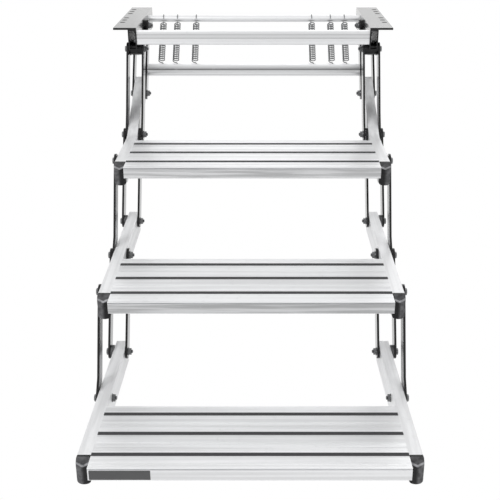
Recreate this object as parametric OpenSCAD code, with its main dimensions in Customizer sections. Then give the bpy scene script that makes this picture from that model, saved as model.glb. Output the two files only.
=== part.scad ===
// Folding three-tread entry step for a caravan or camper door.
// Origin: middle of the slotted mounting flanges, on their top face.
// +X is to the right seen from outside, -Y points away from the vehicle, +Z is up.

/* [Treads] */
// Distance between the centre lines of the left and right rails
rail_span = 600; // [560:5:700]
// Width of a rail tube
rail_w = 25; // [22:1:28]
// Height of a rail tube
rail_h = 50; // [48:1:56]
// Wall of a rail tube
rail_wall = 2.5; // [2:0.5:3.5]
// Height of the top tread below the mounting flanges
first_drop = 247.5; // [245:0.5:255]
// Height of one step
rise = 182.5; // [178:0.5:186]
// Distance from one nosing to the next
run = 294; // [290:1:298]
// Front edge of the top tread, ahead of the mount
first_reach = 524; // [518:1:530]
// Depth of a deck from nosing to back edge
deck_depth = 205; // [202:1:215]
// Distance between the seams of the deck planks
plank_pitch = 66.7; // [62:0.1:67]
// Height of a deck plank
plank_h = 26; // [22:1:30]
// Wall of a deck plank
plank_wall = 2.2; // [1.6:0.2:3]
// How far the nosing stands in front of the rail ends
nosing = 40; // [34:1:46]
// Width of a grip strip
strip_w = 12; // [8:1:16]
// Depth of the groove that holds a grip strip
strip_groove = 2; // [1.5:0.5:2.5]
// How far a grip strip stands above the deck
strip_proud = 1; // [0.5:0.1:1.5]
// Length of the end cap in front of a rail
cap_len = 14; // [12:1:20]
// How far the cap stands proud of the rail, above, below and outside
cap_lip = 0.8; // [0.4:0.2:1]
// Height of the sloped brow at the top of a cap
cap_brow = 13; // [10:1:16]
// Length of the lower and middle rails behind the nosing
rail_end = 484; // [478:1:490]
// Bend of the top rails towards the frame, in degrees
bend = 28; // [26:0.5:29]
// Radius inside the bend of the top rails
bend_r = 60; // [50:5:70]
// Where the top rails bend, behind the nosing
bend_at = 230; // [226:1:236]
// Length of the bent end of the top rails
bend_len = 210; // [204:1:216]
// Nose-up lean of the bottom tread, in degrees
bottom_lean = 3.3; // [2.8:0.1:3.6]

/* [Links] */
// Width of a flat bar link
bar_w = 32; // [28:1:33]
// Thickness of a flat bar link
bar_t = 5; // [4:0.5:5]
// Spacing of the three pivots on a rail
pitch = 184; // [182:0.5:186]
// First pivot of a rail, behind the nosing
first_pivot = 80; // [78:0.5:84]
// Pivot pin diameter
pin_d = 8; // [6:0.5:8.5]
// Clearance round a pivot pin in the links and rails
pin_gap = 0.1; // [0.05:0.05:0.2]
// Gap between faces that slide past each other
face_gap = 0.3; // [0.2:0.05:0.4]
// Diameter of the spacer discs between links and rails
disc_d = 30; // [26:1:32]
// Thickness of the thin spacer discs
disc_t = 1.2; // [0.8:0.1:1.6]
// Play of the rear top pin in its opening in the rail
pin_play = 5; // [4.9:0.1:5.6]

/* [Frame] */
// Length of a mounting bracket
bracket_len = 335; // [325:5:345]
// Front end of the brackets, ahead of the mount
bracket_front = 188; // [184:1:192]
// Thickness of a mounting flange
flange_t = 5; // [4:0.5:6]
// How far a flange reaches out from the centre line of a rail
flange_side = 46; // [42:1:56]
// Width of the bracket channel
channel_w = 21; // [20:0.5:24]
// Height of the bracket channel under the flange
channel_h = 50; // [48:1:54]
// Wall of the bracket channel
channel_wall = 3; // [2.5:0.5:4]
// Width of a mounting slot
slot_w = 10; // [8:0.5:11]
// Length of a mounting slot
slot_len = 14; // [13:0.5:16]
// Distance between neighbouring mounting slots
slot_pitch = 35; // [33:0.5:36]
// Slot centres, out from the centre line of a rail
slot_side = 35; // [31:0.5:36]
// Height of the front cross member
member_h = 34; // [30:1:36]
// Depth of the front cross member
member_d = 17; // [14:1:18]
// Diameter of the rear cross tube
rear_tube_d = 17; // [15:1:18]
// Diameter of the spring bar between the rear links
spring_bar_d = 32; // [28:1:34]
// Wall of the round tubes
tube_wall = 2; // [1.5:0.5:3]

/* [Springs] */
// Outer diameter of a spring coil
coil_d = 18; // [15:0.5:19]
// Spring wire diameter
wire_d = 2.6; // [2:0.1:3]
// Turns in a spring coil
coil_turns = 18; // [10:1:20]
// Outer springs, in from the centre line of a rail
spring_in_outer = 54; // [48:1:60]
// Middle springs, in from the centre line of a rail
spring_in_middle = 92; // [86:1:98]
// Inner springs, in from the centre line of a rail
spring_in_inner = 143; // [134:1:150]

/* [Hidden] */
$fn = 48;
eps = 0.01;

steel = "#2b2b2c";
alloy = "#d5d6d8";
zinc = "#9a9c9e";
plastic = "#333336";

// Places along X, measured from the centre line
rail_out = rail_span/2 + rail_w/2;
rail_in = rail_span/2 - rail_w/2;
outer_1 = rail_out + disc_t + face_gap;
outer_2 = outer_1 + bar_t + 2*face_gap;
inner_1 = rail_in - disc_t - face_gap - bar_t;
inner_2 = inner_1 - 2*face_gap - bar_t;
channel_in = rail_span/2 - channel_w/2;
channel_out = rail_span/2 + channel_w/2;
flange_edge = rail_span/2 + flange_side;
slot_x = rail_span/2 + slot_side;
spring_x_outer = rail_span/2 - spring_in_outer;
spring_x_middle = rail_span/2 - spring_in_middle;
spring_x_inner = rail_span/2 - spring_in_inner;

// Pivots of the frame and of the top tread, as [y, z]
frame_front = [-156.5, -57];
frame_rear = [-1.5, -25];
top_mid = [-first_reach + first_pivot + pitch, -first_drop - 2.5];
top_front = top_mid + [-pitch, -8];
top_rear = [-111.5, -182];
knee = [-232, -207];

// Parallelogram of the lower stages: every link moves from its upper to its lower pivot by this
middle_mid = [-run - first_reach + first_pivot + pitch, -first_drop - rise - 18];
link = middle_mid - top_front;
middle_rear = top_mid + link;
middle_front = middle_mid + [-pitch, 1];
bottom_mid = middle_front + link;
bottom_rear = middle_mid + link;
link_knee = [-80, -161];

// Nosing of each tread on its top face, as [y, z]
top_nose = [-first_reach, -first_drop];
middle_nose = top_nose + [-run, -rise];
bottom_top_at_mid = 18;
bottom_nose = bottom_mid + [-(first_pivot + pitch)*cos(bottom_lean), 0]
    + [0, bottom_top_at_mid + (first_pivot + pitch)*sin(bottom_lean)];

// Slot rows of the mounting flanges, from the mount outwards along Y
slot_rows = [-3*slot_pitch, -2*slot_pitch, -slot_pitch, slot_pitch, 2*slot_pitch, 3*slot_pitch];

// Places of the round tubes, as [y, z]
rear_tube_at = [46, -flange_t - rear_tube_d/2 - 1.5];
spring_bar_at = frame_rear + 0.66*(top_rear - frame_rear);
member_y = -bracket_front + 2;
member_z = -flange_t - 3;

// Strip and seam places across a deck, from its nosing
seams = [0, deck_depth - 6.3 - 2*plank_pitch, deck_depth - 6.3 - plank_pitch, deck_depth];
strip_from_seam = 23.1;

// One side of the step: 1 is right, -1 is left
module side(s) {
    if (s > 0) children();
    else mirror([1, 0, 0]) children();
}

// Turns a shape drawn in the YZ plane into a solid that runs along X from x0
module along_x(x0, length) {
    translate([x0, 0, 0]) rotate([90, 0, 90]) linear_extrude(length) children();
}

// Round hole at a pivot through everything outside x0
module pivot_hole(at, r, x0 = 0) {
    translate([x0, at[0], at[1]]) rotate([0, 90, 0]) cylinder(r = r, h = flange_edge);
}

function angle_of(v) = atan2(v[1], v[0]);

// Straight flanks of a bar between two points, a hair inside its round ends
module bar_flanks(from, to) {
    flank_w = bar_w - 0.04;
    translate(from) rotate(angle_of(to - from)) translate([0, -flank_w/2])
        square([norm(to - from), flank_w]);
}

// Outline of a straight bar from one pivot to the other
module bar_outline(from, to) {
    translate(from) circle(d = bar_w);
    translate(to) circle(d = bar_w);
    bar_flanks(from, to);
}

module bar(from, to, x0, color_name = steel) {
    color(color_name) difference() {
        along_x(x0, bar_t) bar_outline(from, to);
        pivot_hole(from, pin_d/2 + pin_gap);
        pivot_hole(to, pin_d/2 + pin_gap);
    }
}

module cranked_bar(from, bend_point, to, x0) {
    color(steel) difference() {
        along_x(x0, bar_t) {
            translate(from) circle(d = bar_w);
            translate(bend_point) circle(d = bar_w);
            translate(to) circle(d = bar_w);
            bar_flanks(from, bend_point);
            bar_flanks(bend_point, to);
        }
        pivot_hole(from, pin_d/2 + pin_gap);
        pivot_hole(to, pin_d/2 + pin_gap);
    }
}

// Round spacer disc on a pivot, from x0 outwards
module disc(at, x0, thickness, d = disc_d) {
    translate([x0, at[0], at[1]]) rotate([0, 90, 0]) difference() {
        cylinder(d = d, h = thickness);
        translate([0, 0, -1]) cylinder(r = pin_d/2 + pin_gap, h = thickness + 2);
    }
}

head_h = 5;
head_d = 2*pin_d;
nut_h = 7;

// Pivot bolt: flanged hexagon head outside at x_head, nut inside at x_nut; a nut in a rail is plain
module pivot_bolt(at, x_head, x_nut, plain_nut = false) {
    translate([0, at[0], at[1]]) rotate([0, 90, 0]) {
        translate([0, 0, x_nut - nut_h - 3]) cylinder(d = pin_d, h = x_head - x_nut + nut_h + 3.5);
        translate([0, 0, x_head]) cylinder(d = head_d + 2, h = 1.4);
        translate([0, 0, x_head + 1.4]) cylinder(d = head_d - 1, h = head_h - 1.4, $fn = 6);
    }
    translate([x_nut - nut_h, at[0], at[1]]) rotate([0, 90, 0]) difference() {
        union() {
            cylinder(d = head_d - 1, h = plain_nut ? nut_h : nut_h - 1.4, $fn = 6);
            if (!plain_nut) translate([0, 0, nut_h - 1.4]) cylinder(d = head_d + 2, h = 1.4);
        }
        translate([0, 0, -1]) cylinder(r = pin_d/2 + 0.02, h = nut_h + 2);
    }
}

// Mounting bracket: slotted flange, open channel, pivot lug and stop tab
lug_r = 15;
tab_drop = 22;
tab_len = 40;

module slot_cut(y) {
    translate([slot_x, y, -flange_t - 1]) linear_extrude(flange_t + 2) {
        square([slot_len - slot_w, slot_w], center = true);
        for (dx = [-1, 1]) translate([dx*(slot_len - slot_w)/2, 0]) circle(d = slot_w);
    }
}

module flange() {
    difference() {
        translate([channel_in, -bracket_front, -flange_t])
            cube([flange_edge - channel_in, bracket_len, flange_t]);
        for (y = slot_rows) slot_cut(y);
    }
}

module channel() {
    difference() {
        translate([channel_in, -bracket_front, -flange_t - channel_h])
            cube([channel_w, bracket_len, channel_h + eps]);
        translate([channel_in + channel_wall, -bracket_front - 1, -flange_t - channel_h + channel_wall])
            cube([channel_w - 2*channel_wall, bracket_len + 2, channel_h - 2*channel_wall]);
    }
}

module pivot_lug() {
    translate([inner_2 + bar_t + face_gap, frame_front[0], frame_front[1]]) rotate([0, 90, 0])
        cylinder(r = lug_r, h = outer_1 - face_gap - inner_2 - bar_t - face_gap);
}

module rear_boss() {
    x0 = inner_1 + bar_t + face_gap;
    translate([x0, frame_rear[0], frame_rear[1]]) rotate([0, 90, 0])
        cylinder(r = lug_r, h = outer_1 - face_gap - x0);
}

module stop_tab() {
    x0 = channel_in + channel_wall;
    y0 = frame_front[0] - lug_r;
    along_x(x0, channel_w - 2*channel_wall) polygon([
        [y0, -flange_t - channel_h + 1],
        [y0 + tab_len, -flange_t - channel_h + 1],
        [y0 + tab_len, -flange_t - channel_h - tab_drop],
        [y0 + tab_len - 6, -flange_t - channel_h - tab_drop],
        [y0, -flange_t - channel_h - 8]
    ]);
}

module bracket() {
    color(steel) difference() {
        union() {
            flange();
            channel();
            pivot_lug();
            rear_boss();
            stop_tab();
        }
        pivot_hole(frame_front, pin_d/2 + pin_gap);
        pivot_hole(frame_rear, pin_d/2 + pin_gap);
        for (z = screw_z) member_screw_hole(z);
        translate([channel_in - 1, rear_tube_at[0], rear_tube_at[1]]) rotate([0, 90, 0])
            cylinder(d = screw_d + 0.4, h = channel_wall + 2);
    }
}

// Front cross member: extruded box with two screw ports and fine grooves on its front
screw_d = 6;
screw_z = [member_z - 8, member_z - member_h + 8];

module member_screw_hole(z) {
    translate([channel_in - 1, member_y + member_d/2, z]) rotate([0, 90, 0])
        cylinder(d = screw_d + 0.4, h = channel_wall + 2);
}

module member_profile() {
    corner = 3;
    difference() {
        translate([member_y, member_z - member_h]) {
            translate([corner, 0]) square([member_d - 2*corner, member_h]);
            translate([0, corner]) square([member_d, member_h - 2*corner]);
            for (y = [corner, member_d - corner], z = [corner, member_h - corner])
                translate([y, z]) circle(r = corner);
        }
        translate([member_y + tube_wall, member_z - member_h/2 - 2])
            square([member_d - 2*tube_wall, 4]);
        for (z = screw_z) translate([member_y + member_d/2, z]) circle(d = screw_d + 0.1);
        for (k = [1:3]) translate([member_y - 0.4, member_z - member_h*k/4 - 0.6]) square([1, 1.2]);
    }
}

module front_cross_member() {
    color(alloy) along_x(-channel_in, 2*channel_in) member_profile();
}

module ring(at, d, wall) {
    translate(at) difference() {
        circle(d = d);
        circle(d = d - 2*wall);
    }
}

module rear_cross_tube() {
    color(alloy) along_x(-channel_in, 2*channel_in)
        ring(rear_tube_at, rear_tube_d, (rear_tube_d - screw_d - 0.1)/2);
}

module spring_bar() {
    half = inner_1;
    color(alloy) along_x(-half, 2*half) ring(spring_bar_at, spring_bar_d, tube_wall);
}

// Screw from inside the channel into a cross member
module frame_screw(y, z) {
    x0 = channel_in + channel_wall;
    translate([x0, y, z]) rotate([0, 90, 0]) {
        cylinder(d = 11, h = 3.5, $fn = 6);
        translate([0, 0, -channel_wall - 22]) cylinder(d = screw_d, h = channel_wall + 23);
    }
}

module frame_bolts() {
    color(zinc) for (s = [-1, 1]) side(s) {
        pivot_bolt(frame_front, outer_1 + bar_t + face_gap, inner_2 - face_gap);
        pivot_bolt(frame_rear, outer_1 + bar_t + face_gap, inner_1 - face_gap);
        for (z = screw_z) frame_screw(member_y + member_d/2, z);
        frame_screw(rear_tube_at[0], rear_tube_at[1]);
    }
}

// Spring: hook over the rear tube, coil, hook into the spring bar, swept as one wire
spring_from = rear_tube_at;
spring_to = spring_bar_at;
spring_dir = (spring_to - spring_from)/norm(spring_to - spring_from);
spring_up = [-spring_dir[1], spring_dir[0]];
spring_gap = norm(spring_to - spring_from);
hook_r = rear_tube_d/2 + wire_d/2 + face_gap;
coil_r = coil_d/2 - wire_d/2;
coil_start = hook_r + 6;
coil_end = spring_gap - spring_bar_d/2 - 12;
steps = 7;

function on_axis(a, u, x) = [x, spring_from[0] + a*spring_dir[0] + u*spring_up[0],
    spring_from[1] + a*spring_dir[1] + u*spring_up[1]];
function hook_point(t, x) = on_axis(-hook_r*cos(t), hook_r*sin(t), x);
function coil_points(x) = [for (k = [0:coil_turns*steps]) let (t = k*360/steps)
    on_axis(coil_start + (coil_end - coil_start)*k/(coil_turns*steps),
        coil_r*cos(t), x + coil_r*sin(t))];
function spring_points(x) = concat(
    [for (t = [-60:24:108]) hook_point(t, x)],
    coil_points(x),
    [on_axis(coil_end + 5, coil_r*0.6, x), on_axis(coil_end + 9, 0, x),
     on_axis(spring_gap - spring_bar_d/2 - face_gap, 0, x)]);

function cross3(a, b) = [a[1]*b[2] - a[2]*b[1], a[2]*b[0] - a[0]*b[2], a[0]*b[1] - a[1]*b[0]];
function unit(v) = v/norm(v);

// Sweeps a round wire with a few sides along a list of points
module wire(points, d, sides = 5) {
    n = len(points);
    lean = unit([0.31, spring_dir[1], -spring_dir[0]]);
    rings = [for (i = [0:n - 1]) let (
        ahead = unit(points[min(i + 1, n - 1)] - points[max(i - 1, 0)]),
        across = unit(cross3(ahead, lean)),
        third = cross3(across, ahead))
        for (k = [0:sides - 1]) points[i] + d/2*(cos(360*k/sides)*across + sin(360*k/sides)*third)];
    skin = [for (i = [0:n - 2], k = [0:sides - 1], half = [0, 1]) let (j = (k + 1)%sides)
        half == 0 ? [i*sides + k, i*sides + j, (i + 1)*sides + j]
            : [i*sides + k, (i + 1)*sides + j, (i + 1)*sides + k]];
    polyhedron(rings, concat(skin, [[for (k = [0:sides - 1]) sides - 1 - k],
        [for (k = [0:sides - 1]) (n - 1)*sides + k]]), convexity = 12);
}

module spring(x) {
    color(zinc) wire(spring_points(x), wire_d);
}

// Top rail: level tube, round bend and raised end
module rail_section(inset) {
    translate([inset, inset]) square([rail_w - 2*inset, rail_h - 2*inset]);
}

// A rail's level stretch from y0 to y1, its top face at height z
module level_tube(y0, y1, z, inset) {
    translate([rail_in + inset, y0, z - rail_h + inset])
        cube([rail_w - 2*inset, y1 - y0, rail_h - 2*inset]);
}

bend_y = top_nose[0] + bend_at - bend_r*tan(bend/2);
bend_z = top_nose[1] + bend_r;
play_at = top_rear + [-2.1, -4.3];

module top_rail_tube(inset) {
    level_tube(top_nose[0] + nosing - (inset > 0 ? 1 : 0), bend_y + eps, top_nose[1], inset);
    translate([rail_in, bend_y, bend_z]) rotate([90, 0, 90]) rotate(-90)
        rotate_extrude(angle = bend, $fn = 96)
            translate([bend_r + inset, inset]) square([rail_h - 2*inset, rail_w - 2*inset]);
    translate([0, bend_y, bend_z]) rotate([bend, 0, 0]) translate([0, -bend_y, -bend_z])
        level_tube(bend_y - eps, bend_y + bend_len + (inset > 0 ? 1 : 0), top_nose[1], inset);
}

module top_rail() {
    color(alloy) difference() {
        top_rail_tube(0);
        top_rail_tube(rail_wall);
        pivot_hole(top_front, pin_d/2 + pin_gap, rail_span/2);
        pivot_hole(top_mid, pin_d/2 + pin_gap);
        pivot_hole(play_at, pin_d/2 + pin_play + face_gap);
    }
}

// Straight rail of the two lower treads, its nosing at the given point
module straight_rail(nose) {
    difference() {
        level_tube(nose[0] + nosing, nose[0] + rail_end, nose[1], 0);
        level_tube(nose[0] + nosing - 1, nose[0] + rail_end + 1, nose[1], rail_wall);
    }
}

module middle_rail() {
    color(alloy) difference() {
        straight_rail(middle_nose);
        pivot_hole(middle_front, pin_d/2 + pin_gap, rail_span/2);
        pivot_hole(middle_mid, pin_d/2 + pin_gap);
        pivot_hole(middle_rear, pin_d/2 + pin_gap);
    }
}

// Leans a piece of the bottom tread about its nosing
module leaned() {
    translate([0, bottom_nose[0], bottom_nose[1]]) rotate([-bottom_lean, 0, 0])
        translate([0, -bottom_nose[0], -bottom_nose[1]]) children();
}

module bottom_rail() {
    color(alloy) difference() {
        leaned() straight_rail(bottom_nose);
        pivot_hole(bottom_mid, pin_d/2 + pin_gap);
        pivot_hole(bottom_rear, pin_d/2 + pin_gap);
    }
}

// Cross section of one deck plank between two seams, with its groove, ribs and hooked edges
lip = 0.15;
rib = 1;

module plank_profile(y0, y1, front) {
    groove_y = y1 - strip_from_seam - (y1 > seams[2] + 1 ? 6.3 : 0);
    difference() {
        translate([y0 + lip, -plank_h]) square([y1 - y0 - 2*lip, plank_h]);
        if (front) translate([y0, 0]) difference() {
            translate([-1, -3]) square([4 + lip, 4]);
            translate([3 + lip, -3]) circle(r = 3);
        }
        translate([groove_y - strip_w/2, -strip_groove]) square([strip_w, strip_groove + 1]);
        // Hollow chambers on both sides of the groove
        translate([y0 + plank_wall, -plank_h + plank_wall])
            square([groove_y - strip_w/2 - y0 - 2*plank_wall, plank_h - 2*plank_wall]);
        translate([groove_y + strip_w/2 + plank_wall, -plank_h + plank_wall])
            square([y1 - groove_y - strip_w/2 - 2*plank_wall, plank_h - 2*plank_wall]);
        translate([groove_y - strip_w/2 + plank_wall/2, -plank_h + plank_wall])
            square([strip_w - plank_wall, plank_h - 2*plank_wall - strip_groove]);
        // Fine grooves along the top
        for (y = [y0 + 8, y0 + 14, y1 - 10.7])
            if (abs(y - groove_y) > strip_w/2 + 2) translate([y, -0.6]) square([1, 1]);
    }
}

module plank(nose, i) {
    color(alloy) translate([0, nose[0], nose[1]])
        along_x(-rail_in, 2*rail_in) plank_profile(seams[i], seams[i + 1], i == 0);
}

function strip_y(i) = seams[i + 1] - strip_from_seam - (i == 2 ? 6.3 : 0);

module strip_profile() {
    fit = 0.1;
    translate([-strip_w/2 + fit, -strip_groove]) square([strip_w - 2*fit, strip_groove]);
    for (k = [-1, 0, 1]) translate([k*strip_w/3 - strip_w/9, -eps])
        square([strip_w/4.5, strip_proud + eps]);
}

module grip_strips(nose) {
    color(plastic) for (i = [0:2]) translate([0, nose[0] + strip_y(i), nose[1]])
        along_x(-rail_in + 0.5, 2*rail_in - 1) strip_profile();
}

// Moulded end cap: keel-shaped front, sloped brow, rounded foot and a plug that fits in the rail
cap_r = 5;
cap_cheek = 1.5;
plug_len = 18;
plug_fit = 0.2;

module cap_side_profile() {
    bottom = -rail_h - cap_lip;
    difference() {
        polygon([[0, cap_lip], [-cap_len/2, cap_lip], [-cap_len, cap_lip - cap_brow],
            [-cap_len, bottom], [0, bottom]]);
        translate([-cap_len, bottom]) difference() {
            translate([-1, -1]) square([cap_r + 1, cap_r + 1]);
            translate([cap_r, cap_r]) circle(r = cap_r);
        }
    }
}

module cap_top_profile() {
    polygon([[-rail_w/2, 0], [-rail_w/2, -2], [-rail_w/2 + cap_cheek, -cap_len + 6], [0, -cap_len],
        [rail_w/2 + cap_lip - cap_cheek, -cap_len + 6], [rail_w/2 + cap_lip, -2],
        [rail_w/2 + cap_lip, 0]]);
}

module end_cap(nose) {
    translate([rail_span/2, nose[0] + nosing, nose[1]]) {
        intersection() {
            along_x(-rail_w, 2*rail_w) cap_side_profile();
            translate([0, 0, -rail_h - 3]) linear_extrude(rail_h + 6) cap_top_profile();
        }
        translate([-rail_w/2 + rail_wall + plug_fit, -eps, -rail_h + rail_wall + plug_fit])
            cube([rail_w - 2*rail_wall - 2*plug_fit, plug_len,
                rail_h - 2*rail_wall - 2*plug_fit]);
    }
}

module end_caps(nose) {
    color(plastic) for (s = [-1, 1]) side(s) end_cap(nose);
}

// Spacer discs that stay on a rail, outside and inside
module thin_pair(at) {
    disc(at, rail_out, disc_t);
    disc(at, rail_in - disc_t, disc_t);
}

module rear_pair(at) {
    disc(at, rail_out, outer_2 - face_gap - rail_out);
    disc(at, rail_in - disc_t, disc_t);
}

module front_single(at) {
    disc(at, rail_out, disc_t, disc_d - 8);
}

module top_spacers() {
    color(plastic) for (s = [-1, 1]) side(s) {
        thin_pair(top_mid);
        front_single(top_front);
    }
}

module middle_spacers() {
    color(plastic) for (s = [-1, 1]) side(s) {
        thin_pair(middle_mid);
        front_single(middle_front);
        rear_pair(middle_rear);
    }
}

module bottom_spacers() {
    color(plastic) for (s = [-1, 1]) side(s) {
        front_single(bottom_mid);
        rear_pair(bottom_rear);
    }
}

// Pivot bolts of each tread
module top_bolts() {
    color(zinc) for (s = [-1, 1]) side(s) {
        pivot_bolt(top_mid, outer_2 + bar_t + face_gap, inner_2 - face_gap);
        pivot_bolt(top_front, outer_1 + bar_t + face_gap, rail_out - rail_wall, true);
    }
}

module middle_bolts() {
    color(zinc) for (s = [-1, 1]) side(s) {
        pivot_bolt(middle_mid, outer_2 + bar_t + face_gap, inner_1 - face_gap);
        pivot_bolt(middle_front, outer_1 + bar_t + face_gap, rail_out - rail_wall, true);
        pivot_bolt(middle_rear, outer_2 + bar_t + face_gap, inner_1 - face_gap);
    }
}

module bottom_bolts() {
    color(zinc) for (s = [-1, 1]) side(s) {
        pivot_bolt(bottom_mid, outer_1 + bar_t + face_gap, rail_in);
        pivot_bolt(bottom_rear, outer_2 + bar_t + face_gap, inner_1 - face_gap);
    }
}

// Bolts at the rear ends of the top rails, with their own discs, carried by the rear links
module upper_rear_bolts() {
    color(zinc) for (s = [-1, 1]) side(s) {
        pivot_bolt(top_rear, outer_1 + bar_t, inner_1);
        disc(top_rear, rail_out + face_gap, disc_t);
        disc(top_rear, rail_in - face_gap - disc_t, disc_t);
    }
}

side(-1) bracket();  // bracket_left
side(1) bracket();  // bracket_right
front_cross_member();
rear_cross_tube();
frame_bolts();
spring(-spring_x_outer);  // spring_left_outer
spring(-spring_x_middle);  // spring_left_middle
spring(-spring_x_inner);  // spring_left_inner
spring(spring_x_inner);  // spring_right_inner
spring(spring_x_middle);  // spring_right_middle
spring(spring_x_outer);  // spring_right_outer
side(-1) cranked_bar(frame_front, knee, top_mid, outer_1);  // upper_front_link_outer_left
side(1) cranked_bar(frame_front, knee, top_mid, outer_1);  // upper_front_link_outer_right
side(-1) cranked_bar(frame_front, knee, top_mid, inner_2);  // upper_front_link_inner_left
side(1) cranked_bar(frame_front, knee, top_mid, inner_2);  // upper_front_link_inner_right
side(-1) bar(frame_rear, top_rear, outer_1);  // upper_rear_link_outer_left
side(1) bar(frame_rear, top_rear, outer_1);  // upper_rear_link_outer_right
side(-1) bar(frame_rear, top_rear, inner_1);  // upper_rear_link_inner_left
side(1) bar(frame_rear, top_rear, inner_1);  // upper_rear_link_inner_right
spring_bar();
upper_rear_bolts();
side(-1) top_rail();  // top_rail_left
side(1) top_rail();  // top_rail_right
plank(top_nose, 2);  // top_plank_rear
plank(top_nose, 1);  // top_plank_middle
plank(top_nose, 0);  // top_plank_front
grip_strips(top_nose);  // top_grip_strips
end_caps(top_nose);  // top_end_caps
top_spacers();
top_bolts();
side(-1) cranked_bar(top_front, top_front + link_knee, middle_mid, outer_1);  // middle_front_link_left
side(1) cranked_bar(top_front, top_front + link_knee, middle_mid, outer_1);  // middle_front_link_right
side(-1) bar(top_mid, middle_rear, outer_2);  // middle_rear_link_outer_left
side(1) bar(top_mid, middle_rear, outer_2);  // middle_rear_link_outer_right
side(-1) bar(top_mid, middle_rear, inner_1);  // middle_rear_link_inner_left
side(1) bar(top_mid, middle_rear, inner_1);  // middle_rear_link_inner_right
side(-1) middle_rail();  // middle_rail_left
side(1) middle_rail();  // middle_rail_right
plank(middle_nose, 2);  // middle_plank_rear
plank(middle_nose, 1);  // middle_plank_middle
plank(middle_nose, 0);  // middle_plank_front
grip_strips(middle_nose);  // middle_grip_strips
end_caps(middle_nose);  // middle_end_caps
middle_spacers();
middle_bolts();
side(-1) cranked_bar(middle_front, middle_front + link_knee, bottom_mid, outer_1);  // bottom_front_link_left
side(1) cranked_bar(middle_front, middle_front + link_knee, bottom_mid, outer_1);  // bottom_front_link_right
side(-1) bar(middle_mid, bottom_rear, outer_2);  // bottom_rear_link_outer_left
side(1) bar(middle_mid, bottom_rear, outer_2);  // bottom_rear_link_outer_right
side(-1) bar(middle_mid, bottom_rear, inner_1);  // bottom_rear_link_inner_left
side(1) bar(middle_mid, bottom_rear, inner_1);  // bottom_rear_link_inner_right
side(-1) bottom_rail();  // bottom_rail_left
side(1) bottom_rail();  // bottom_rail_right
leaned() plank(bottom_nose, 2);  // bottom_plank_rear
leaned() plank(bottom_nose, 1);  // bottom_plank_middle
leaned() plank(bottom_nose, 0);  // bottom_plank_front
leaned() grip_strips(bottom_nose);  // bottom_grip_strips
leaned() end_caps(bottom_nose);  // bottom_end_caps
bottom_spacers();
bottom_bolts();
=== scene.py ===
"""Looks of a folding three-tread caravan entry step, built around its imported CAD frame."""

import math

import bmesh
import bpy
from bpy.props import (
    FloatProperty,
    FloatVectorProperty,
    IntProperty,
    PointerProperty,
)
from mathutils import Matrix, Vector


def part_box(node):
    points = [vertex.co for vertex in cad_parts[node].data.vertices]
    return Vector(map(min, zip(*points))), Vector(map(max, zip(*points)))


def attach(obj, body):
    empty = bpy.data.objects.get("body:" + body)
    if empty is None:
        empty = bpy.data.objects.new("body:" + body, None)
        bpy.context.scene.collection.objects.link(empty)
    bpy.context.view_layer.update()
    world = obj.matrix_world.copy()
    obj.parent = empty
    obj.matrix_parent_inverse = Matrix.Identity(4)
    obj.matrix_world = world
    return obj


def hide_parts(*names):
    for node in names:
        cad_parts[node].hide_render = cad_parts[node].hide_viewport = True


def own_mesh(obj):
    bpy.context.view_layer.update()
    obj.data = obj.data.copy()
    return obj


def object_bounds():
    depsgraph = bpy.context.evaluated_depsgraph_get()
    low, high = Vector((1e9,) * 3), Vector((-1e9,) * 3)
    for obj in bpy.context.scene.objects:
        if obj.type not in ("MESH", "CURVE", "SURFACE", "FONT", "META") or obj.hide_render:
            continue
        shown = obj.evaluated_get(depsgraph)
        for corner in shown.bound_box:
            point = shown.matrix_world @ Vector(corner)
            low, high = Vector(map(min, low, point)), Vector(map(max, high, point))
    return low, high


bl_info = {
    "name": "Caravan entry step",
    "version": (1, 0, 0),
    "blender": (4, 5, 0),
    "location": "View3D > Sidebar > Entry step",
    "description": "Builds the finishes, springs, bolts, strips and caps of a folding entry step",
    "category": "Object",
}

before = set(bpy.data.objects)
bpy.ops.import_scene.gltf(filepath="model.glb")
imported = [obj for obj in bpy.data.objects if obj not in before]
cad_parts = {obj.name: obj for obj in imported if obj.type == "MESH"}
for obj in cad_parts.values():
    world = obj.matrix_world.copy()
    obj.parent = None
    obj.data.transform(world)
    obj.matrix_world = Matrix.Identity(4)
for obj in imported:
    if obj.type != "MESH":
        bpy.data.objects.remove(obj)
cad_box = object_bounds()

MM = 0.001
SIDES = {"left": -1, "right": 1}

# Places taken from the frame, in metres
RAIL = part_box("middle_rail_right")
RAIL_IN, RAIL_OUT = RAIL[0].x, RAIL[1].x
LINK_OUTER_1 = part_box("middle_front_link_right")
LINK_OUTER_2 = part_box("middle_rear_link_outer_right")
LINK_INNER_1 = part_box("middle_rear_link_inner_right")
LINK_INNER_2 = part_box("upper_front_link_inner_right")
REAR_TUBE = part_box("rear_cross_tube")
SPRING_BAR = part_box("spring_bar")
FRONT_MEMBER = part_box("front_cross_member")

# Sizes of the solids that no box gives
FACE_GAP = 0.3 * MM  # between faces that slide on each other
BAR_HALF = 16 * MM  # half the width of a bar link
BOLT_R = 4 * MM
RAIL_WALL, RAIL_HIGH = 2.5 * MM, 50 * MM
DISC_R, DISC_THICK = 15 * MM, 1.2 * MM
CHANNEL_OUT = 310.5 * MM  # outer wall of a bracket's channel, from the middle of the step
LUG_R = 15 * MM
SCREW_INSET = 8 * MM  # from the upper and lower face of the cross member
NOSING = 40 * MM  # from the front of a tread to the ends of its rails
BOTTOM_LEAN = math.radians(3.3)  # how far the bottom tread leans forward


def middle(box):
    """Middle of a node's box."""
    return (box[0] + box[1]) / 2


def link_ends(box):
    """Upper and lower pivot of a straight bar link that runs down and forward, from its box."""
    inset = Vector((0, BAR_HALF, BAR_HALF))
    low, high = (Vector((0, corner.y, corner.z)) for corner in box)
    return high - inset, low + inset


# Settings


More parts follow.
